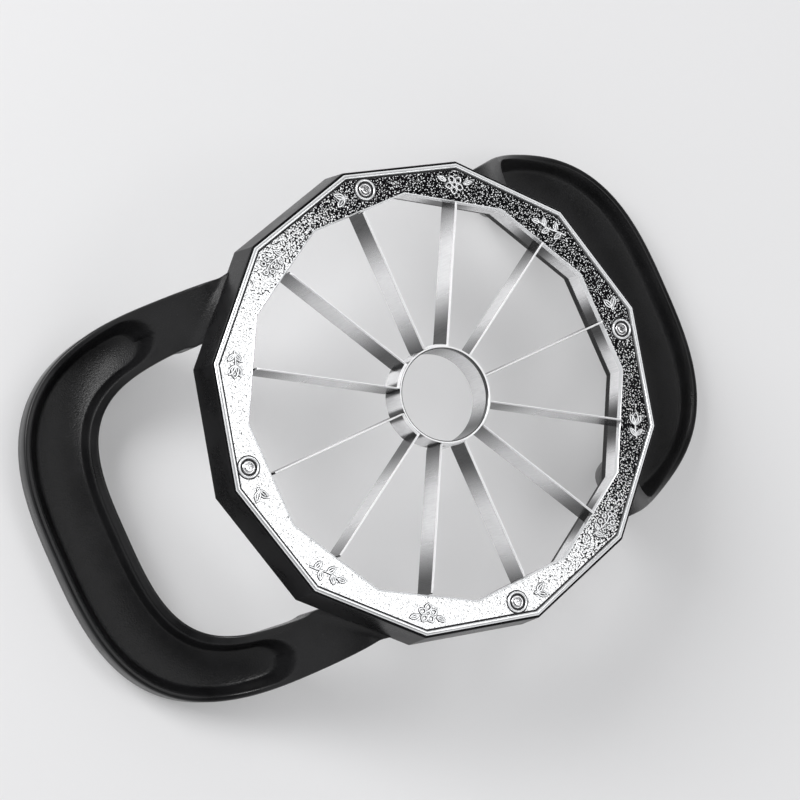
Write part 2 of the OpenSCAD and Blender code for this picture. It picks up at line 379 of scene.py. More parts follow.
class Tree:
    """Short calls for adding and wiring nodes"""

    def __init__(self, tree):
        self.nodes = tree.nodes
        self.links = tree.links

    def add(self, kind, **values):
        node = self.nodes.new("ShaderNode" + kind)
        for key, value in values.items():
            setattr(node, key, value)
        return node

    def put(self, socket, value):
        """Links a socket to the value, or sets it where the value is a plain one"""
        if isinstance(value, bpy.types.NodeSocket):
            self.links.new(value, socket)
        else:
            socket.default_value = value

    def math(self, operation, *values, clamp=False):
        node = self.add("Math", operation=operation, use_clamp=clamp)
        for socket, value in zip(node.inputs, values):
            self.put(socket, value)
        return node.outputs[0]

    def ease(self, value, low, high, to_low=0.0, to_high=1.0):
        """A smooth step from to_low at low to to_high at high"""
        node = self.add("MapRange", interpolation_type="SMOOTHSTEP")
        for title, item in (("Value", value), ("From Min", low), ("From Max", high),
                            ("To Min", to_low), ("To Max", to_high)):
            self.put(node.inputs[title], item)
        return node.outputs["Result"]

    def mix(self, factor, one, two):
        node = self.add("Mix", data_type="RGBA")
        self.put(node.inputs["Factor"], factor)
        self.put(node.inputs[6], one)
        self.put(node.inputs[7], two)
        return node.outputs[2]

    def noise(self, vector, scale, detail=2.0, rough=0.5):
        node = self.add("TexNoise")
        self.put(node.inputs["Vector"], vector)
        self.put(node.inputs["Scale"], scale)
        node.inputs["Detail"].default_value = detail
        node.inputs["Roughness"].default_value = rough
        return node.outputs["Fac"]

    def group(self, group, **values):
        node = self.nodes.new("ShaderNodeGroup")
        node.node_tree = group
        for title, value in values.items():
            self.put(node.inputs[title.replace("_", " ")], value)
        return node.outputs


GROUPS = {}


def place_group():
    """Distance from the tool's middle axis, angle round it, and height, in mm"""
    if "place" not in GROUPS:
        group, tree = new_group("Round the axis", [], [
            ("Radius", "NodeSocketFloat"), ("Angle", "NodeSocketFloat"),
            ("Height", "NodeSocketFloat")])
        out = group.nodes.new("NodeGroupOutput")
        parts = tree.add("SeparateXYZ")
        tree.put(parts.inputs[0], tree.add("TexCoord").outputs["Object"])
        x, y, z = parts.outputs
        square = tree.math("ADD", tree.math("MULTIPLY", x, x), tree.math("MULTIPLY", y, y))
        tree.put(out.inputs["Radius"],
                 tree.math("MULTIPLY", tree.math("SQRT", square), 1 / MM))
        tree.put(out.inputs["Angle"], tree.math("ARCTAN2", y, x))
        tree.put(out.inputs["Height"], tree.math("MULTIPLY", z, 1 / MM))
        GROUPS["place"] = group
    return GROUPS["place"]


def grain_group():
    """Fine moulded or cast grain: a height and a soft blotch mask"""
    if "grain" not in GROUPS:
        group, tree = new_group("Moulded grain", [("Size", "NodeSocketFloat", 0.0004)], [
            ("Height", "NodeSocketFloat"), ("Blotch", "NodeSocketFloat"),
            ("Speck", "NodeSocketFloat")])
        source = group.nodes.new("NodeGroupInput")
        out = group.nodes.new("NodeGroupOutput")
        at = tree.add("TexCoord").outputs["Object"]
        fine = tree.noise(at, tree.math("DIVIDE", 1.0, source.outputs["Size"]), 2.0, 0.6)
        blotch = tree.noise(at, 90.0, 3.0, 0.55)
        speck = tree.ease(tree.noise(at, 1900.0, 1.0), 0.74, 0.80)
        tree.put(out.inputs["Height"], fine)
        tree.put(out.inputs["Blotch"], tree.ease(blotch, 0.35, 0.65))
        tree.put(out.inputs["Speck"], speck)
        GROUPS["grain"] = group
    return GROUPS["grain"]


def new_material(name, color, metallic, roughness):
    """A material with a Principled shader, and its tree"""
    material = bpy.data.materials.new(name)
    material.use_nodes = True
    material.node_tree.nodes.clear()
    tree = Tree(material.node_tree)
    shader = tree.add("BsdfPrincipled")
    out = tree.add("OutputMaterial")
    tree.links.new(shader.outputs[0], out.inputs["Surface"])
    shader.inputs["Base Color"].default_value = (*color, 1)
    shader.inputs["Metallic"].default_value = metallic
    shader.inputs["Roughness"].default_value = roughness
    material.diffuse_color = (*color, 1)
    return material, tree, shader


def bump(tree, shader, height, distance):
    """Feeds a height into the shader's normal"""
    node = tree.add("Bump")
    node.inputs["Strength"].default_value = 1.0
    node.inputs["Distance"].default_value = distance
    tree.put(node.inputs["Height"], height)
    tree.links.new(node.outputs["Normal"], shader.inputs["Normal"])


def shade(color, factor):
    """A colour made lighter or darker"""
    return (*[min(1.0, part * factor) for part in color], 1)


def black_plastic(name, settings, grain, rough, depth, gloss):
    """Black moulded plastic with a grain of the given size and depth"""
    material, tree, shader = new_material(name, settings.color, 0.0, rough)
    made = tree.group(grain_group(), Size=grain)
    tint = tree.mix(made["Blotch"], shade(settings.color, 0.8), shade(settings.color, 1.3))
    tint = tree.mix(tree.math("MULTIPLY", made["Speck"], 0.3), tint, (0.06, 0.06, 0.064, 1))
    tree.put(shader.inputs["Base Color"], tint)
    wear = tree.math("MULTIPLY_ADD", made["Blotch"], 0.07, rough - 0.035)
    tree.put(shader.inputs["Roughness"],
             tree.math("ADD", wear, tree.math("MULTIPLY", made["Height"], 0.06)))
    shader.inputs["Specular IOR Level"].default_value = gloss
    bump(tree, shader, made["Height"], depth)
    return material


def polished_plating(name, settings):
    """Bright plating with a soft polishing haze"""
    material, tree, shader = new_material(name, settings.color, 0.7, 0.2)
    made = tree.group(grain_group(), Size=0.0012)
    tree.put(shader.inputs["Base Color"], tree.mix(
        made["Blotch"], shade(settings.color, 1.06), shade(settings.color, 1.12)))
    tree.put(shader.inputs["Roughness"], tree.math("MULTIPLY_ADD", made["Blotch"], 0.08, 0.16))
    bump(tree, shader, made["Height"], 0.000012)
    return material


def pebbled_plating(name, settings):
    """Bright plating over a field of small pebbles, with painted shade in the gaps between them that widens away from
    the lit side of the ring"""
    painted_lit_side = math.radians(204)
    material, tree, shader = new_material(name, settings.color, 0.7, 0.1)
    at = tree.add("TexCoord").outputs["Object"]
    cells = tree.add("TexVoronoi", feature="SMOOTH_F1")
    tree.put(cells.inputs["Vector"], at)
    cells.inputs["Scale"].default_value = 1 / settings.pebble
    cells.inputs["Smoothness"].default_value = 0.35
    cells.inputs["Randomness"].default_value = 1.0
    dome = tree.math("SUBTRACT", 0.75, cells.outputs["Distance"])
    made = tree.group(grain_group(), Size=settings.pebble * 1.2)
    steep = tree.math("MULTIPLY", tree.ease(made["Height"], 0.5, 0.62), dome)
    height = tree.math("ADD", tree.math("MULTIPLY", dome, 0.5), steep)
    angle = tree.group(place_group())["Angle"]
    # painted shade: the gaps between the pebbles are darkened, more of them away from the lit side of the ring
    side = tree.math("COSINE", tree.math("SUBTRACT", angle, painted_lit_side))
    painted_shade_level = tree.ease(side, 0.6, -0.55, -0.08, 0.42)
    rise = tree.math("ADD", dome, tree.math("MULTIPLY_ADD", made["Height"], 0.8, -0.4))
    gap = tree.ease(tree.math("SUBTRACT", painted_shade_level, rise), -0.03, 0.03)
    # the gap mask paints near-black shade into the colour
    tree.put(shader.inputs["Base Color"], tree.mix(
        gap, shade(settings.color, 1.14), (0.008, 0.008, 0.009, 1)))
    tree.put(shader.inputs["Metallic"], tree.math("MULTIPLY_ADD", gap, 0.45, 0.55))
    tree.put(shader.inputs["Roughness"], tree.math("MULTIPLY_ADD", gap, 0.3, 0.08))
    bump(tree, shader, height, 0.00009)
    return material


def shaded_groove(name):
    """Painted shade for the floor of a narrow groove in the plating; it is also put on the screws' recesses and rims,
    round the eyelets and on the motifs' flanks
    """
    material, tree, shader = new_material(name, (0.015, 0.015, 0.016), 0.4, 0.5)
    made = tree.group(grain_group(), Size=0.0003)
    tree.put(shader.inputs["Base Color"], tree.mix(
        made["Blotch"], (0.010, 0.010, 0.011, 1), (0.03, 0.03, 0.032, 1)))
    tree.put(shader.inputs["Roughness"],
             tree.math("MULTIPLY_ADD", made["Height"], 0.2, 0.4))
    return material


BLADE_EDGE = (FACE + 1.2, FACE + 1.35)  # heights between which a blade turns into its edge
CORE_EDGE = (FACE + 2.08, FACE + 2.22)  # the same for the core ring
HOOP_R, CORE_R = 52.0, 13.0  # about the radii of the hoop and the core ring, in mm
CORE_WALL = 12.5  # a radius inside the core ring's wall, in mm


def brushed_steel(name, settings, along):
    """Brushed steel. along is "blade" for strips that run out from the core ring, "core" for the core ring and "hoop"
    for the hoop. Light and shade are painted into the colour: the blades lighter along their middles and darker at
    their ends, the hoop and the strips round the core darker near the blades and lighter between them, the core ring's
    bore lighter on one side, and the cutting edges painted near white as a highlight."""
    material, tree, shader = new_material(name, settings.color, 1.0, 0.26)
    where = tree.group(place_group())
    radius, angle, height = where["Radius"], where["Angle"], where["Height"]
    across = tree.math("MULTIPLY", angle, HOOP_R) if along == "hoop" else (
        tree.math("MULTIPLY", angle, CORE_R) if along == "core" else radius)
    lines = tree.add("CombineXYZ")
    tree.put(lines.inputs[0], tree.math("DIVIDE", across, settings.brush / MM))
    tree.put(lines.inputs[1], tree.math("MULTIPLY", height, 0.18))
    tree.put(lines.inputs[2], tree.math("MULTIPLY", angle, 7.0))
    brush = tree.noise(lines.outputs[0], 1.0, 3.0, 0.7)
    # 1 on the blades' lines; from it the next line makes a mask that paints light between the blades and shade near
    # them
    toward_blades = tree.math("COSINE", tree.math("MULTIPLY", angle, float(SIDES)))
    lit_between_blades = tree.ease(toward_blades, 0.7, -0.2)
    if along == "blade":
        # painted light along each blade's middle and painted shade at its ends, and painted light between the blades
        # where the strips curve round the core
        shift = tree.math("MULTIPLY", tree.math("SINE", tree.math("MULTIPLY", angle, 5.0)), 3.5)
        middle = tree.math("ADD", radius, shift)
        run = tree.math("MULTIPLY", tree.ease(middle, 14.0, 29.0),
                        tree.ease(middle, 52.0, 36.0))
        light = tree.math("ADD", run, tree.math(
            "MULTIPLY", lit_between_blades, tree.ease(radius, 14.2, 13.4)), clamp=True)
        edge = tree.ease(height, *BLADE_EDGE)
    elif along == "core":
        # painted light on one side of the core ring's bore, and painted light between the blades on its outer wall
        turn = tree.math("COSINE", tree.math("SUBTRACT", angle, math.radians(5)))
        bore = tree.math("MULTIPLY", tree.ease(turn, 0.35, 1.0),
                         tree.ease(height, FACE + 0.9, FACE + 0.75))
        bore = tree.math("MULTIPLY", bore, tree.ease(radius, CORE_WALL, 12.3))
        light = tree.math("ADD", bore, tree.math(
            "MULTIPLY", lit_between_blades, tree.ease(radius, CORE_WALL, 12.6)), clamp=True)
        edge = tree.ease(height, *CORE_EDGE)
    else:
        # painted shade on the hoop near the blades and painted light at its corners
        light = tree.ease(toward_blades, 0.95, -0.7)
        edge = 0.0
    # the painted light and shade go into the colour, from 0.07 to 1.24 times the steel's colour
    painted_light_tone = tree.mix(light, shade(settings.color, 0.07), shade(settings.color, 1.24))
    streak = tree.math("MULTIPLY", tree.ease(brush, 0.62, 0.38), 0.16)
    base = tree.mix(streak, painted_light_tone, shade(settings.color, 0.3))
    # the cutting edges are painted near white as a highlight
    tree.put(shader.inputs["Base Color"], tree.mix(edge, base, (0.95, 0.95, 0.96, 1)))
    plain = tree.math("SUBTRACT", 1.0, edge)
    # less metallic where light is painted and on the edges, so that the painted light shows bright under any lamp
    matte_for_painted_light = tree.math("MAXIMUM", tree.math("MULTIPLY", edge, 0.7),
                      tree.math("MULTIPLY", light, 0.4))
    tree.put(shader.inputs["Metallic"], tree.math("SUBTRACT", 1.0, matte_for_painted_light))
    tree.put(shader.inputs["Roughness"], tree.math("ADD", tree.math(
        "MULTIPLY_ADD", brush, 0.12, 0.16), tree.math("MULTIPLY", edge, 0.2)))
    bump(tree, shader, tree.math("MULTIPLY", brush, plain), 0.000005)
    return material


def screw_steel(name, settings):
    """Turned screw steel with fine rings from the lathe"""
    material, tree, shader = new_material(name, settings.color, 1.0, 0.2)
    made = tree.group(grain_group(), Size=0.00025)
    tree.put(shader.inputs["Base Color"], tree.mix(
        made["Blotch"], shade(settings.color, 0.85), shade(settings.color, 1.08)))
    tree.put(shader.inputs["Roughness"],
             tree.math("MULTIPLY_ADD", made["Height"], 0.2, 0.1))
    bump(tree, shader, made["Height"], 0.00001)
    return material


# ---------------------------------------------------------------- black frame


class SLICER_OT_band(Operator):
    """Adds the twelve-sided black band that holds the ring and the blades"""

    bl_idname = "slicer.band"
    bl_label = "Frame band"

    def execute(self, context):
        ring, body = context.scene.slicer_ring, context.scene.slicer_frame
        pocket = ring.apothem / MM + 0.1
        lip, back = body.lip / MM, body.wall_back / MM
        deep = -body.band_height / MM
        wall = ring.opening / MM + 1.5
        lip_top, cut = -0.6, 0.8
        ledge, ledge_low, ledge_top = wall - 0.7, -9.3, -8.3
        start_afresh()
        add_loop([(pocket, -COVER_T), (pocket, lip_top), (lip, lip_top), (back, deep + cut),
                  (back - cut, deep)])
        add_loop([(wall, deep), (wall, ledge_low), (ledge, ledge_low), (ledge, ledge_top),
                  (wall, ledge_top), (wall, -COVER_T)], turn=HALF_SIDE)
        bridge((back - cut, deep, 0.0), (wall, deep, HALF_SIDE))
        bridge((pocket, -COVER_T, 0.0), (wall, -COVER_T, HALF_SIDE))
        face_outward()
        bpy.ops.object.mode_set(mode="OBJECT")
        soften_edges(body.edge)
        piece = finish_piece("frame_band_moulding", "black_plastic", ["frame_band"])
        give(piece, black_plastic("Smooth black plastic", body, body.grain * 2.2, 0.27,
                                  0.000006, 0.16))
        return {"FINISHED"}


class HandleShape:
    """The looped handle's surface, in mm, with heights from the ring's face"""

    loop_x = 46.02
    arm_out, arm_in = 53.12, 37.72
    grip_out, grip_in = 53.0, 33.0
    out_power, in_power = 2.85, 3.2
    root_out_x, root_in_x = 34.02, 41.52
    fillet_r, taper = 2.0, 0.1
    shoulder, shoulder_run = -11.5, 21.0
    root_back, heel = -12.4, 0.6
    grip_t = 10.0
    arm_steps, bend_steps, grip_steps = 26, 44, 36

    def __init__(self, back, dish):
        self.back = back
        self.dish = dish
        self.stations = self.make_stations()
        self.end = self.flared(self.stations[0])

    def reach(self, angle, a, b, power):
        """Distance from the loop's middle to a rounded box of half sizes a and b"""
        total = (abs(math.cos(angle)) / a) ** power + (abs(math.sin(angle)) / b) ** power
        return total ** (-1 / power)

    def loop_point(self, angle, a, b, power):
        away = self.reach(angle, a, b, power)
        return (self.loop_x + away * math.cos(angle), away * math.sin(angle))

    def make_stations(self):
        """Pairs of outer and inner edge points along half the handle, from root to grip"""
        found = []
        for i in range(self.arm_steps):
            part = i / self.arm_steps
            found.append(((self.root_out_x + (self.loop_x - self.root_out_x) * part,
                           self.arm_out),
                          (self.root_in_x + (self.loop_x - self.root_in_x) * part,
                           self.arm_in)))
        angles = ([90 - 30 * i / self.bend_steps for i in range(self.bend_steps)]
                  + [60 * (1 - i / self.grip_steps) for i in range(self.grip_steps + 1)])
        for degrees in angles:
            angle = math.radians(degrees)
            found.append((self.loop_point(angle, self.grip_out, self.arm_out, self.out_power),
                          self.loop_point(angle, self.grip_in, self.arm_in, self.in_power)))
        return found

    def wall_gap(self, point):
        """Distance from a point to the band's side"""
        return max(point[0] * math.cos(HALF_SIDE + side * SIDE_ANGLE)
                   + point[1] * math.sin(HALF_SIDE + side * SIDE_ANGLE)
                   for side in range(3)) - self.back

    def fillet(self, gap, radius):
        if gap >= radius:
            return 0.0
        return (radius - max(gap, 0.0)) ** 2 / (2 * radius)

    def spread(self, point, along):
        push = along * self.fillet(self.wall_gap(point), self.fillet_r) * math.cos(math.pi / 4)
        return (point[0] - push, point[1] + push)

    def narrowing(self, x):
        """How much an arm has narrowed at x on its way into the band"""
        ahead = max(0.0, self.loop_x + 23 - x)
        return self.taper * (ahead ** 2 / 24 if ahead < 12 else ahead - 6)

    def flared(self, edges):
        (x, y), inner = edges
        return self.spread((x, y - self.narrowing(x)), 1), self.spread(inner, -1)

    def drop(self, x, start, run, power=2):
        """How far the arm has come down at x, as a part of its full way down"""
        return 0.0 if x <= start else 1 - math.exp(-((x - start) / run) ** power)

    def front_z(self, point):
        return (self.shoulder
                - (FACE - self.grip_t + self.shoulder)
                * self.drop(point[0], self.loop_x - 6, self.shoulder_run, 1.9)
                + self.fillet(self.wall_gap(point), self.fillet_r))

    def back_z(self, x, across):
        start = self.end[0][0] + (self.end[1][0] - self.end[0][0]) * across
        run = self.shoulder_run - 5 - 6.5 * across
        return max(-FACE, self.root_back
                   - (FACE + self.heel + self.root_back) * self.drop(x, start, run))

    def round_off(self, part):
        return 0.0 if part >= 1 else 1 - math.sqrt(1 - (1 - part) ** 2)

    def trough(self, across, plan, width):
        """How deep the trough is at a point, as a part of its full depth"""
        low, high = 0.07, 0.875
        middle, half = (low + high) / 2, (high - low) / 2 * width
        side = (across - middle) * width
        turn_x = self.loop_x + 15.6
        if plan[0] < turn_x:
            inside = half - math.hypot(turn_x - plan[0], side)
        else:
            inside = half - abs(side)
        steep = 3.1 if side < 0 else 1.7
        wall = min(1.0, max(0.0, inside / steep))
        wall = wall * wall * (3 - 2 * wall)
        floor = 0.62 + 0.38 * (1 - min(1.0, abs(side + 1.6) / (half + 1.6)) ** 2)
        return wall * floor

    def front_part(self, across, plan, width):
        return (0.07 * self.round_off(across / 0.035)
                + 0.07 * self.round_off((1 - across) / 0.035)
                + self.dish / self.grip_t * self.trough(across, plan, width))

    def back_part(self, across):
        return 1 - 0.42 * self.round_off(across / 0.3) - 0.42 * self.round_off((1 - across) / 0.3)

    def point(self, edges, across, is_front):
        outer, inner = edges
        plan = (outer[0] + (inner[0] - outer[0]) * across,
                outer[1] + (inner[1] - outer[1]) * across)
        width = math.hypot(inner[0] - outer[0], inner[1] - outer[1])
        front, back = self.front_z(plan), self.back_z(plan[0], across)
        part = self.front_part(across, plan, width) if is_front else self.back_part(across)
        return (plan[0], plan[1], front + (back - front) * part)


FRONT_ACROSS = [
    0, .006, .014, .024, .036, .05, .065, .078, .09, .102, .115, .13, .145, .16, .175, .19,
    .205, .225, .25, .28, .315, .35, .39, .43, .47, .51, .55, .59, .63, .66, .685, .71, .735,
    .755, .775, .79, .805, .82, .835, .85, .865, .878, .895, .915, .935, .95, .963, .975,
    .986, .994, 1,
]
BACK_ACROSS = [.985, .96, .92, .86, .79, .71, .61, .5, .39, .29, .21, .14, .08, .04, .015]


class SLICER_OT_handles(Operator):
    """Adds the two looped handles with their troughs"""

    bl_idname = "slicer.handles"
    bl_label = "Looped handles"

    def execute(self, context):
        body = context.scene.slicer_frame
        shape = HandleShape(body.wall_back / MM, body.dish / MM)
        half = []
        for edges in shape.stations:
            spread = shape.flared(edges)
            half.append([shape.point(spread, across, True) for across in FRONT_ACROSS]
                        + [shape.point(spread, across, False) for across in BACK_ACROSS])
        rows = half + [[(x, -y, z) for x, y, z in row] for row in half[-2::-1]]
        long, around = len(rows) - 1, len(rows[0])
        grained = black_plastic("Grained black plastic", body, body.grain, 0.33, 0.00011, 0.28)
        smooth_skin = black_plastic("Rim black plastic", body, body.grain * 1.6, 0.28, 0.00001,
                                    0.3)

        start_afresh()
        bpy.ops.mesh.primitive_grid_add(x_subdivisions=long, y_subdivisions=around, size=1)
        piece = bpy.context.object
        give(piece, grained, smooth_skin)
        where = {}
        for vertex in piece.data.vertices:
            row = round((vertex.co.x + 0.5) * long)
            step = round((vertex.co.y + 0.5) * around)
            where[vertex.index] = (row, step)
            x, y, z = rows[row][step % around]
            vertex.co = (x * MM, y * MM, (FACE + z) * MM)
        rim_low, rim_high, arm_rows = 9, 41, 44
        for face in piece.data.polygons:
            step = min(where[index][1] for index in face.vertices)
            face.material_index = 0 if rim_low <= step < rim_high else 1
            row = min(where[index][0] for index in face.vertices)
            if step < len(FRONT_ACROSS) - 1 and min(row, long - row) < arm_rows:
                face.material_index = 0
        bpy.ops.object.mode_set(mode="EDIT")
        bpy.ops.mesh.select_all(action="SELECT")
        bpy.ops.mesh.remove_doubles(threshold=0.000001)
        bpy.ops.mesh.fill_holes(sides=0)
        face_outward()
        bpy.ops.object.mode_set(mode="OBJECT")
        bpy.ops.object.shade_smooth_by_angle(angle=math.radians(42))
        right = finish_piece("right_handle_moulding", "black_plastic", ["right_handle"])

        take(right)
        bpy.ops.object.duplicate()
        bpy.ops.transform.rotate(value=math.pi, orient_axis="Z", center_override=(0, 0, 0))
        for key in [key for key in bpy.context.object.keys() if key.startswith("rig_")]:
            del bpy.context.object[key]
        finish_piece("left_handle_moulding", "black_plastic", ["left_handle"])
        return {"FINISHED"}


# ---------------------------------------------------------------- cover ring


class SLICER_OT_cover(Operator):
    """Adds the bright cover ring with its borders, groove, pebbled field and eyelets"""

    bl_idname = "slicer.cover"
    bl_label = "Cover ring"

    def execute(self, context):
        ring = context.scene.slicer_ring
        out, hole = ring.apothem / MM, ring.opening / MM
        edge = out - ring.border / MM
        rim = hole + ring.inner_border / MM
        deep, groove = -ring.field_depth / MM, ring.groove / MM
        polished = polished_plating("Polished plating", ring)
        pebbled = pebbled_plating("Pebbled plating", ring)
        dark = shaded_groove("Shaded groove")
        start_afresh()
        crown = [(out, -0.45), (out - 0.05, -0.33), (out - 0.14, -0.23), (out - 0.3, -0.13),
                 (out - 0.6, -0.03), (out - 0.82, 0.0), (out - 0.95, -0.03),
                 (edge + 0.04, -0.13), (edge, -0.3)]
        add_loop([(out, -COVER_T)] + crown + [(edge - 0.04, -1.0), (edge - groove, -1.0),
                                          (edge - groove, deep)])
        add_loop([(hole, -COVER_T), (hole, -0.5), (hole + 0.06, -0.32), (hole + 0.16, -0.22),
                  (hole + 0.27, -0.2), (rim - 0.1, -0.24), (rim - 0.03, -0.36), (rim, -0.5),
                  (rim, deep)], turn=HALF_SIDE)
        bridge((edge - groove, deep, 0.0), (rim, deep, HALF_SIDE))
        bridge((out, -COVER_T, 0.0), (hole, -COVER_T, HALF_SIDE))
        face_outward()
        bpy.ops.object.mode_set(mode="OBJECT")
        soften_edges(0.00005, 40)
        piece = finish_piece("cover_ring_plated", "bright_plating", ["cover_ring"])
        give(piece, polished, pebbled, dark)
        for face in piece.data.polygons:
            centre = face.center
            apothem = self.apothem_of(centre)
            high = centre.z / MM - FACE
            # painted shade: the groove's walls and floor take the dark groove material
            if high < deep - 0.15 and apothem > rim + 1 and high > -1.5:
                face.material_index = 2
            elif abs(high - deep) < 0.02 and face.normal.z > 0.9 and apothem > rim - 0.1:
                face.material_index = 1
        self.add_eyelets(ring, polished)
        return {"FINISHED"}

    def apothem_of(self, place):
        """Distance along the nearest side's normal, in mm"""
        return max(place.x * math.cos(HALF_SIDE + i * SIDE_ANGLE)
                   + place.y * math.sin(HALF_SIDE + i * SIDE_ANGLE)
                   for i in range(SIDES)) / MM

    def add_eyelets(self, ring, polished):
        """The raised rings round the four screws, modelled once and copied"""
        bead_in, bead_out = 2.21, 2.77
        start_afresh()
        add_loop([(3.1, -0.9), (3.1, EYELET_FLOOR), (2.78, EYELET_FLOOR), (2.75, -0.3),
                  (2.68, -0.16), (2.55, -0.08), (2.4, -0.08), (2.26, -0.16), (2.2, -0.3),
                  (2.2, EYELET_FLOOR), (1.3, EYELET_FLOOR), (1.3, -0.9)], vertices=56)
        pick(lambda place: place.z / MM - FACE < -0.85)
        bpy.ops.mesh.bridge_edge_loops()
        face_outward()
        bpy.ops.object.mode_set(mode="OBJECT")
        bpy.ops.object.shade_smooth_by_angle(angle=math.radians(60))
        first = bpy.context.object
        give(first, polished, bpy.data.materials["Shaded groove"])
        # painted shade on the eyelet's foot round it and on the floor inside it round the screw's head
        for face in first.data.polygons:
            away = math.hypot(face.center.x, face.center.y) / MM
            if away < bead_in or away > bead_out:
                face.material_index = 1
        place_copies(first, "screw_eyelet", "bright_plating", screw_places(ring))


def screw_places(ring):
    """Where the four screws sit"""
    return [Matrix.Rotation(i * math.pi / 2 - ring.screw_turn, 4, "Z")
            @ Matrix.Translation((ring.screw_circle, 0, 0)) for i in range(4)]


class SLICER_OT_screws(Operator):
    """Adds the four cross-recessed cover screws"""

    bl_idname = "slicer.screws"
    bl_label = "Cover screws"

    def execute(self, context):
        steel = context.scene.slicer_steel
        half = steel.head / MM / 2 - 0.12
        recess_top, recess_reach, crown_reach = -0.45, 1.3, 1.68
        start_afresh()
        add_loop([(0.6, -9.5), (1.2, -8.6), (1.2, -1.65), (half, -1.6), (half, -0.85),
                  (1.72, -0.52), (1.66, -0.4), (1.54, -0.32), (1.4, -0.3), (1.27, -0.34),
                  (1.18, -0.46), (1.16, -0.62), (1.04, -0.62), (1.02, -0.48), (0.92, -0.41),
                  (0.7, -0.38)], vertices=48)
        bpy.ops.mesh.fill_holes(sides=0)
        bpy.ops.mesh.select_all(action="SELECT")
        bpy.ops.mesh.fill_holes(sides=0)
        face_outward()
        bpy.ops.object.mode_set(mode="OBJECT")
        first = bpy.context.object
        for turn in (0, math.pi / 2):
            start_afresh()
            bpy.ops.mesh.primitive_cube_add(
                size=1, location=(0, 0, (FACE - 0.3) * MM), rotation=(0, 0, turn),
                scale=(1.75 * MM, 0.42 * MM, 1.3 * MM))
            bpy.ops.object.transform_apply(location=True, rotation=True, scale=True)
            bpy.ops.object.mode_set(mode="EDIT")
            pick(lambda place: place.z / MM < FACE - 0.4)
            bpy.ops.transform.resize(value=(0.45, 0.45, 1),
                                     center_override=(0, 0, (FACE - 0.95) * MM))
            bpy.ops.object.mode_set(mode="OBJECT")
            cutter = bpy.context.object
            take(first)
            use_modifier("BOOLEAN", object=cutter, operation="DIFFERENCE", solver="EXACT")
            bpy.data.objects.remove(cutter)
        bpy.ops.object.shade_smooth_by_angle(angle=math.radians(35))
        give(first, screw_steel("Screw steel", steel), bpy.data.materials["Shaded groove"])
        # painted shade in the cross recess and on the head's rim below its crown
        for face in first.data.polygons:
            reach = math.hypot(face.center.x, face.center.y) / MM
            low = face.center.z / MM - FACE < recess_top
            if (low and reach < recess_reach) or reach > crown_reach:
                face.material_index = 1
        place_copies(first, "cover_screw_head", "screw_steel",
                     screw_places(context.scene.slicer_ring),
                     [f"cover_screw_{i}" for i in range(1, 5)])
        return {"FINISHED"}


# ---------------------------------------------------------------- raised plant motifs


def leaf(x, y, length, width, degrees):
    """Outline and midrib of a leaf that starts at a point, in mm"""
    turn = math.radians(degrees)
    outline = []
    for side in (1, -1):
        steps = range(0, 9) if side == 1 else range(8, -1, -1)
        for i in steps:
            part = i / 8
            along = length * part
            away = side * width / 2 * math.sin(math.pi * part) ** 0.85 * (1.1 - 0.35 * part)
            outline.append((x + along * math.cos(turn) - away * math.sin(turn),
                            y + along * math.sin(turn) + away * math.cos(turn)))
    rib = [(x + length * part * math.cos(turn), y + length * part * math.sin(turn))
           for part in (0.05, 0.4, 0.75)]
    return [outline, rib]


def circle(x, y, radius, steps=12):
    """A round outline"""
    return [[(x + radius * math.cos(2 * math.pi * i / steps),
              y + radius * math.sin(2 * math.pi * i / steps)) for i in range(steps + 1)]]


def leaf_sprig():
    """A stem with five leaves"""
    lines = [[(-4.2, -1.3), (-2.6, -0.9), (-0.8, -0.2), (1.0, 0.3), (2.8, 0.3), (4.0, 0.0)]]
    lines += leaf(-2.8, -1.0, 2.3, 1.2, 78) + leaf(-1.4, -0.5, 2.1, 1.1, -62)
    lines += leaf(0.1, 0.1, 2.2, 1.2, 62) + leaf(1.4, 0.3, 2.1, 1.1, -50)
    lines += leaf(3.0, 0.3, 2.0, 1.1, 22)
    return lines


def blossom():
    """Five petals, two leaves"""
    lines = circle(0, 0, 0.55)
    for i in range(5):
        lines += leaf(0.6 * math.cos(math.radians(72 * i + 18)),
                      0.6 * math.sin(math.radians(72 * i + 18)), 1.7, 1.5, 72 * i + 18)[:1]
    lines += leaf(-2.2, -0.6, 2.3, 1.0, 200) + leaf(2.2, -0.6, 2.3, 1.0, -18)
    return lines


def berry_sprig():
    """A stem with five berries and two leaves"""
    lines = [[(-3.8, 1.2), (-2.2, 0.8), (-0.6, 0.2), (1.0, -0.1), (2.4, 0.1)]]
    for x, y in ((2.9, 0.3), (1.7, 1.3), (1.6, -1.3), (0.2, -1.3), (0.1, 1.4)):
        lines += circle(x, y, 0.5, 10)
        lines.append([(x - 0.5, y * 0.55), (x - 1.1, y * 0.2)])
    lines += leaf(-3.0, 1.0, 2.2, 1.1, -75) + leaf(-1.9, 0.7, 1.7, 1.0, 60)
    return lines


def bud():
    """A closed flower on a stem with two leaves"""
    lines = [[(-3.6, -0.6), (-2.0, -0.2), (-0.4, 0.0)]]
    lines += leaf(-0.4, 0.0, 3.0, 1.7, 0)[:1] + leaf(-0.3, 0.2, 2.6, 1.1, 28)[:1]
    lines += leaf(-0.3, -0.2, 2.6, 1.1, -28)[:1]
    lines += leaf(-3.0, -0.5, 2.5, 1.0, 48) + leaf(-2.8, -0.5, 2.1, 0.9, -42)
    return lines


def leaf_pair():
    """Two leaves and a seed"""
    return leaf(0, 0.1, 2.6, 1.3, 32) + leaf(0, -0.1, 2.6, 1.3, -32) + circle(-0.4, 0, 0.28, 8)


MOTIF_SCALE = 1.12
LINE_DEPTH = 0.38  # radius of a raised line, in mm


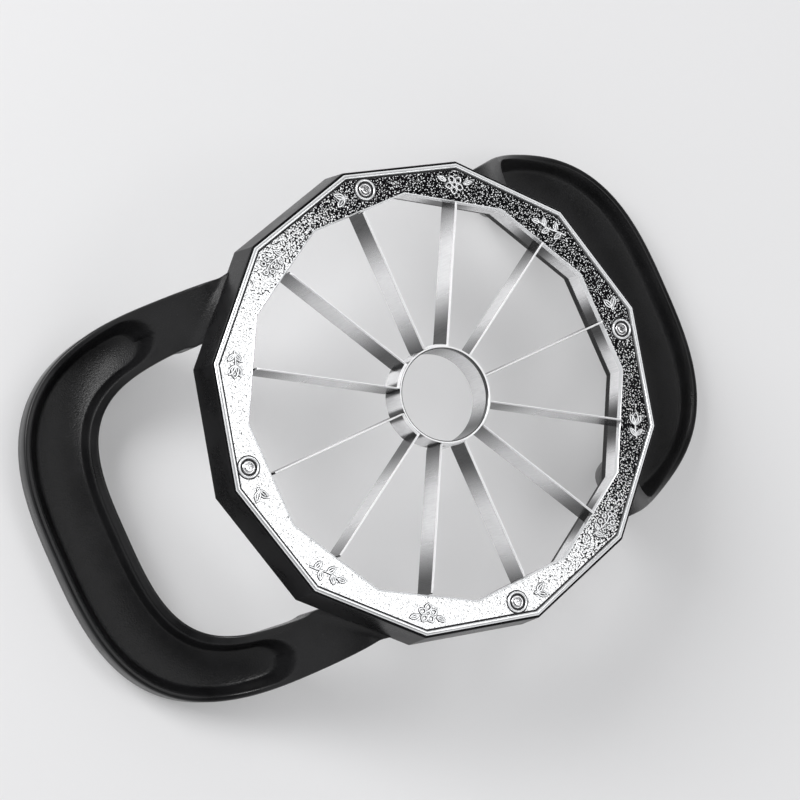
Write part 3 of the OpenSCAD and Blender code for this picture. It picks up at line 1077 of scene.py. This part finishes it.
class SLICER_OT_relief(Operator):
    """Adds the small raised plant motifs on the cover ring's field"""

    bl_idname = "slicer.relief"
    bl_label = "Raised motifs"

    def execute(self, context):
        ring = context.scene.slicer_ring
        polished = bpy.data.materials["Polished plating"]
        dark = bpy.data.materials["Shaded groove"]
        field = (ring.apothem - ring.border - ring.groove
                 + ring.opening + ring.inner_border) / 2 / MM
        lift = (FACE - ring.field_depth / MM - 0.08) * MM
        makers = (("leaf_sprig", leaf_sprig, (30, 210)), ("blossom", blossom, (60, 240)),
                  ("berry_sprig", berry_sprig, (120, 300)), ("bud", bud, (150, 330)),
                  ("leaf_pair", leaf_pair, (2.5, 92.5, 182.5, 272.5)))
        for name, maker, angles in makers:
            first = self.model(maker())
            give(first, polished, dark)
            # painted shade on the raised lines' flanks, which outlines each line
            for face in first.data.polygons:
                face.material_index = 1 if face.normal.z < 0.8 else 0
            reach, quarter = corner(field) * 0.986, math.pi / 2
            if name == "leaf_pair":
                reach, quarter = ring.screw_circle / MM, math.pi / 2 - 0.1
            place_copies(first, f"relief_{name}", "bright_plating", [
                Matrix.Rotation(math.radians(degrees), 4, "Z")
                @ Matrix.Translation((reach * MM, 0, lift))
                @ Matrix.Rotation(quarter, 4, "Z") for degrees in angles])
        return {"FINISHED"}

    def model(self, lines):
        """Round raised lines along the given points"""
        start_afresh()
        bpy.ops.curve.primitive_bezier_curve_add(location=(0, 0, 0))
        line = bpy.context.object
        line.data.splines.clear()
        for points in lines:
            spline = line.data.splines.new("POLY")
            spline.points.add(len(points) - 1)
            for point, (x, y) in zip(spline.points, points):
                point.co = (x * MOTIF_SCALE * MM, y * MOTIF_SCALE * MM, 0, 1)
        line.data.dimensions = "3D"
        line.data.bevel_depth = LINE_DEPTH * MM
        line.data.bevel_resolution = 4
        line.data.use_fill_caps = True
        bpy.ops.object.convert(target="MESH")
        bpy.ops.object.shade_smooth_by_angle(angle=math.radians(50))
        return bpy.context.object


# ---------------------------------------------------------------- steel


class SLICER_OT_steel(Operator):
    """Gives the blades, the hoop and the core ring their brushed steel"""

    bl_idname = "slicer.steel"
    bl_label = "Blade steel"

    def execute(self, context):
        steel = context.scene.slicer_steel
        blade = brushed_steel("Blade steel", steel, "blade")
        for i in range(1, 7):
            give(frame["nodes"][f"blade_pair_{i}"], blade)
        give(frame["nodes"]["blade_hoop"], brushed_steel("Hoop steel", steel, "hoop"))
        give(frame["nodes"]["core_ring"], brushed_steel("Core steel", steel, "core"))
        return {"FINISHED"}


# ---------------------------------------------------------------- stage


SOFTBOX_SPOT = (0.31, -0.137)
CAMERA_PLACE = (-0.29758, 0.02387, 0.68399)
CAMERA_TURN = (8.918, -22.844, -26.079)  # in degrees
FLOOR_LIFT = 0.2


def area_lamp(name, power, width, height, place, target):
    """An area lamp at a place, turned toward a target"""
    lamp = bpy.data.lights.new(name, "AREA")
    lamp.shape = "RECTANGLE"
    lamp.size, lamp.size_y = width, height
    lamp.energy = power
    thing = bpy.data.objects.new(name, lamp)
    bpy.context.collection.objects.link(thing)
    thing.location = place
    thing.rotation_euler = (Vector(target) - Vector(place)).to_track_quat("-Z", "Y").to_euler()
    return thing


class SLICER_OT_stage(Operator):
    """Adds the floor, the lamps, the sky and the camera"""

    bl_idname = "slicer.stage"
    bl_label = "Stage"

    def execute(self, context):
        stage = context.scene.slicer_stage
        start_afresh()
        bpy.ops.mesh.primitive_plane_add(size=12, location=(0, 0, 0))
        floor = bpy.context.object
        floor.name = "floor"
        material, tree, shader = new_material("Floor paint", stage.floor, 0.0, 0.55)
        made = tree.group(grain_group(), Size=0.003)
        tree.put(shader.inputs["Base Color"], tree.mix(
            made["Height"], shade(stage.floor, 0.995), shade(stage.floor, 1.005)))
        self.lift_floor(tree, shader)
        give(floor, material)
        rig.stage(floor)

        softbox = area_lamp("softbox", stage.softbox, 0.5, 1.2, (*SOFTBOX_SPOT, 1.2),
                            (*SOFTBOX_SPOT, 0.0))
        softbox.rotation_euler = Euler((0, 0, math.atan2(0.39, 0.92)))
        area_lamp("side_lamp", stage.side_lamp, 0.7, 0.7, (-0.75, 0.95, 0.95), (0, 0, 0.03))
        self.make_sky(context)
        self.make_camera(context, stage)
        context.scene.view_settings.view_transform = "Standard"
        return {"FINISHED"}

    def lift_floor(self, tree, shader):
        """Shows the floor paler in view and in reflections, without lighting the tool more"""
        path = tree.add("LightPath")
        seen = tree.math("MAXIMUM", path.outputs["Is Camera Ray"], tree.math(
            "MAXIMUM", path.outputs["Is Glossy Ray"], path.outputs["Is Transmission Ray"]))
        glow = tree.add("Emission")
        mixer = tree.add("MixShader")
        tree.put(mixer.inputs[0], tree.math("MULTIPLY", seen, FLOOR_LIFT))
        tree.links.new(shader.outputs[0], mixer.inputs[1])
        tree.links.new(glow.outputs[0], mixer.inputs[2])
        tree.links.new(mixer.outputs[0], tree.nodes["Material Output"].inputs["Surface"])

    def make_sky(self, context):
        """A pale horizon under a darker zenith"""
        world = bpy.data.worlds.new("Sky")
        context.scene.world = world
        world.use_nodes = True
        world.node_tree.nodes.clear()
        tree = Tree(world.node_tree)
        parts = tree.add("SeparateXYZ")
        tree.put(parts.inputs[0], tree.add("TexCoord").outputs["Generated"])
        ramp = tree.add("ValToRGB")
        tree.put(ramp.inputs[0], parts.outputs[2])
        stops = ramp.color_ramp.elements
        stops[0].position, stops[0].color = 0.0, (0.92, 0.92, 0.93, 1)
        stops[1].position, stops[1].color = 1.0, (0.06, 0.06, 0.065, 1)
        for position, level in ((0.35, 0.9), (0.62, 0.45), (0.8, 0.1)):
            stop = stops.new(position)
            stop.color = (level, level, level * 1.01, 1)
        background = tree.add("Background")
        background.inputs["Strength"].default_value = 1.0
        tree.put(background.inputs["Color"], ramp.outputs[0])
        tree.links.new(background.outputs[0], tree.add("OutputWorld").inputs["Surface"])

    def make_camera(self, context, stage):
        camera = bpy.data.cameras.new("camera")
        camera.sensor_width = 36
        camera.lens = stage.lens
        thing = bpy.data.objects.new("camera", camera)
        context.collection.objects.link(thing)
        thing.location = CAMERA_PLACE
        thing.rotation_euler = [math.radians(part) for part in CAMERA_TURN]
        context.scene.camera = thing


# ---------------------------------------------------------------- add-on


STEPS = (SLICER_OT_band, SLICER_OT_handles, SLICER_OT_cover, SLICER_OT_relief,
         SLICER_OT_screws, SLICER_OT_steel, SLICER_OT_stage)
SETTINGS = (("slicer_ring", SlicerRing), ("slicer_frame", SlicerFrame),
            ("slicer_steel", SlicerSteel), ("slicer_stage", SlicerStage))


class SLICER_PT_panel(Panel):
    """Sidebar panel with the slicer's steps and sizes"""

    bl_idname = "SLICER_PT_panel"
    bl_label = "Apple Slicer"
    bl_space_type = "VIEW_3D"
    bl_region_type = "UI"
    bl_category = "Slicer"

    def draw(self, context):
        for step in STEPS:
            self.layout.operator(step.bl_idname)
        for name, kind in SETTINGS:
            box = self.layout.box()
            box.label(text=kind.__doc__)
            for key in kind.__annotations__:
                box.prop(getattr(context.scene, name), key)


def register():
    for name, kind in SETTINGS:
        bpy.utils.register_class(kind)
        setattr(bpy.types.Scene, name, PointerProperty(type=kind))
    for step in STEPS:
        bpy.utils.register_class(step)
    bpy.utils.register_class(SLICER_PT_panel)


def unregister():
    bpy.utils.unregister_class(SLICER_PT_panel)
    for step in reversed(STEPS):
        bpy.utils.unregister_class(step)
    for name, kind in SETTINGS:
        delattr(bpy.types.Scene, name)
        bpy.utils.unregister_class(kind)


def main():
    register()
    bpy.ops.slicer.band()
    bpy.ops.slicer.handles()
    bpy.ops.slicer.cover()
    bpy.ops.slicer.relief()
    bpy.ops.slicer.screws()
    bpy.ops.slicer.steel()
    bpy.ops.slicer.stage()
    boxes = {"cad": [list(point) for point in CAD_BOX],
             "visual": [list(point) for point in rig.bounds()]}
    with open("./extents.json", "w") as out:
        json.dump(boxes, out)


if __name__ == "__main__":
    main()
